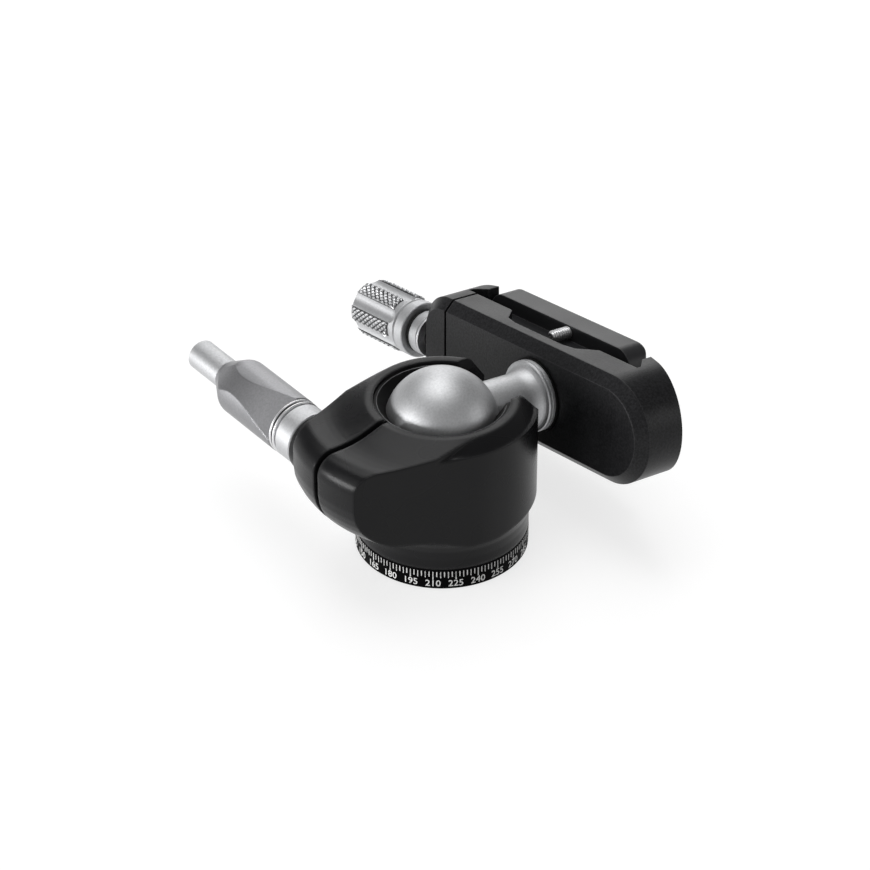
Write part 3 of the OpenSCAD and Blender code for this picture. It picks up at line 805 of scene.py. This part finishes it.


# Painted highlight ring on the edge of the ball's seat, and ribbed rubber pads on the plate

def seat_edge():
    # A thin grey ring that paints the highlight along the chamfer of the seat's rim
    clear_selection()
    bpy.ops.mesh.primitive_torus_add(major_radius=SEAT_R * MM, minor_radius=SEAT_HIGHLIGHT_WIRE_R * MM,
                                     major_segments=96, minor_segments=8)
    ring = bpy.context.object
    start_editing(ring)
    bpy.ops.transform.translate(value=(0, 0, SEAT_Z * MM))
    bpy.ops.mesh.bisect(plane_co=(SEAT_NOTCH_X * MM, 0, 0), plane_no=(1, 0, 0),
                        clear_outer=True, use_fill=True)
    bpy.ops.object.mode_set(mode="OBJECT")
    close_up(ring)
    smooth(ring)
    finish_piece(ring, "seat_edge", FINISH["grey_anodised"], "housing")


def ribbed_pad(name, side):
    # One rib with a flat crest and sloping sides, repeated along the pad
    pitch = (PLATE_LEN - 2 * PAD_MARGIN) / PAD_RIBS
    clear_selection()
    bpy.ops.mesh.primitive_cube_add(size=1, location=(0, 0, 0))
    rib = bpy.context.object
    start_editing(rib)
    bpy.ops.transform.resize(value=(PAD_THICK * MM, 2 * PAD_HALF * MM, pitch * MM))
    bpy.ops.mesh.select_mode(type="FACE")
    bpy.ops.mesh.select_all(action="DESELECT")
    bpy.ops.object.mode_set(mode="OBJECT")
    for face in rib.data.polygons:
        face.select = face.normal.x > 0.9
    bpy.ops.object.mode_set(mode="EDIT")
    bpy.ops.mesh.inset(thickness=RIB_SLOPE * MM, depth=0)
    bpy.ops.object.mode_set(mode="OBJECT")
    crest_half = (pitch / 2 - RIB_CREST) * MM
    for v in rib.data.vertices:
        if v.co.x > 0 and abs(v.co.z) >= crest_half:
            v.co.x -= RIB_DROP * MM
    apply_modifier(rib, "ARRAY", count=PAD_RIBS, use_relative_offset=False,
                   use_constant_offset=True, constant_offset_displace=(0, 0, pitch * MM),
                   use_merge_vertices=True, merge_threshold=0.001 * MM)
    rib.data.transform(ON_BALL @ Matrix.Translation(((PLATE_TOP - PAD_SUNK + PAD_THICK / 2) * MM,
                                                     (MID_Y + PAD_Y * side) * MM,
                                                     (PLATE_LO + PAD_MARGIN + pitch / 2) * MM)))
    close_up(rib)
    finish_piece(rib, name + "_ribbed", FINISH["pad_rubber"], "plate")
    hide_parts(name)


dial_ticks()
dial_numbers()
knob_knurl()
seal_ring("knob_seal", NECK_R + 0.12, NECK_LEN, NECK_Y + NECK_LEN / 2, ON_SPINDLE, "knob")
lever_collar()
seal_ring("collar_seal", COLLAR_R - COLLAR_SEAL_SUNK, COLLAR_SEAL_THICK,
          COLLAR_Y + COLLAR_LEN / 2, ON_LEVER, "handle")
camera_screw()
tripod_bush()
ribbed_pad("pad_a", 1)
ribbed_pad("pad_b", -1)
knob_thrust_ring()
stop_screw("stop_screw_a", PLATE_HI - STOP_IN, STOP_TIP)
stop_screw("stop_screw_b", PLATE_LO + STOP_IN, SLAB_S + 0.1)
seat_edge()


# Floor, light and camera

def seen_directly(tree):
    path = tree.nodes.new("ShaderNodeLightPath")
    seen = math_node(tree, "MAXIMUM", path.outputs["Is Camera Ray"], path.outputs["Is Glossy Ray"])
    return math_node(tree, "MAXIMUM", seen, path.outputs["Is Transmission Ray"])


def floor_material():
    material = bpy.data.materials.new("studio_floor")
    material.use_nodes = True
    tree = material.node_tree
    shader = next(n for n in tree.nodes if n.type == "BSDF_PRINCIPLED")
    shader.inputs["Base Color"].default_value = (FLOOR_GREY, FLOOR_GREY, FLOOR_GREY, 1)
    shader.inputs["Roughness"].default_value = 0.9
    shader.inputs["Specular IOR Level"].default_value = 0.0
    # Whiter with the distance, where the lamps don't reach
    coordinates = tree.nodes.new("ShaderNodeTexCoord")
    reach = tree.nodes.new("ShaderNodeVectorMath")
    reach.operation = "LENGTH"
    tree.links.new(coordinates.outputs["Object"], reach.inputs[0])
    glow = map_range(tree, reach.outputs["Value"], FLOOR_NEAR, FLOOR_FAR,
                     FLOOR_GLOW_NEAR, FLOOR_GLOW_FAR)
    tree.links.new(glow, shader.inputs["Emission Color"])
    tree.links.new(seen_directly(tree), shader.inputs["Emission Strength"])
    return material


def aimed(name, data, at, target):
    # A lamp or camera at this place, turned toward the target
    placed = bpy.data.objects.new(name, data)
    bpy.context.collection.objects.link(placed)
    placed.location = at
    aim = Vector(target) - Vector(at)
    placed.rotation_euler = aim.to_track_quat("-Z", "Y").to_euler()
    return placed


def lamp(name, at, size, power):
    data = bpy.data.lights.new(name, "AREA")
    data.shape = "RECTANGLE"
    data.size, data.size_y = size
    data.energy = power
    aimed(name, data, at, LAMP_AIM)


def studio():
    clear_selection()
    bpy.ops.mesh.primitive_plane_add(size=FLOOR_SIZE, location=(0, 0, FLOOR_Z))
    floor = bpy.context.object
    floor.name = "floor"
    floor.data.materials.append(floor_material())

    world = bpy.context.scene.world or bpy.data.worlds.new("studio")
    bpy.context.scene.world = world
    world.use_nodes = True
    tree = world.node_tree
    background = next(n for n in tree.nodes if n.type == "BACKGROUND")
    background.inputs["Color"].default_value = (1, 1, 1, 1)
    # White to the camera, and a dim ceiling over a white horizon in reflections
    path = tree.nodes.new("ShaderNodeLightPath")
    coordinates = tree.nodes.new("ShaderNodeTexCoord")
    split = tree.nodes.new("ShaderNodeSeparateXYZ")
    tree.links.new(coordinates.outputs["Generated"], split.inputs["Vector"])
    ceiling = map_range(tree, split.outputs["Z"], HORIZON_TOP, CEILING_FROM, 1.0, CEILING_LEVEL)
    shown = math_node(tree, "MAXIMUM", ceiling, path.outputs["Is Camera Ray"])
    strength = map_range(tree, seen_directly(tree), 0, 1, AMBIENT_LEVEL, shown)
    tree.links.new(strength, background.inputs["Strength"])

    for name, at, size, power in LAMPS:
        lamp(name, at, size, power)


def camera():
    # Fitted to the photograph
    data = bpy.data.cameras.new("photo_camera")
    data.sensor_width = CAMERA_SENSOR
    data.lens = CAMERA_LENS
    data.shift_x, data.shift_y = CAMERA_SHIFT
    data.clip_start, data.clip_end = CAMERA_CLIP
    bpy.context.scene.camera = aimed("photo_camera", data, CAMERA_AT, CAMERA_AIM)


studio()
camera()
bpy.context.scene.view_settings.view_transform = "Standard"
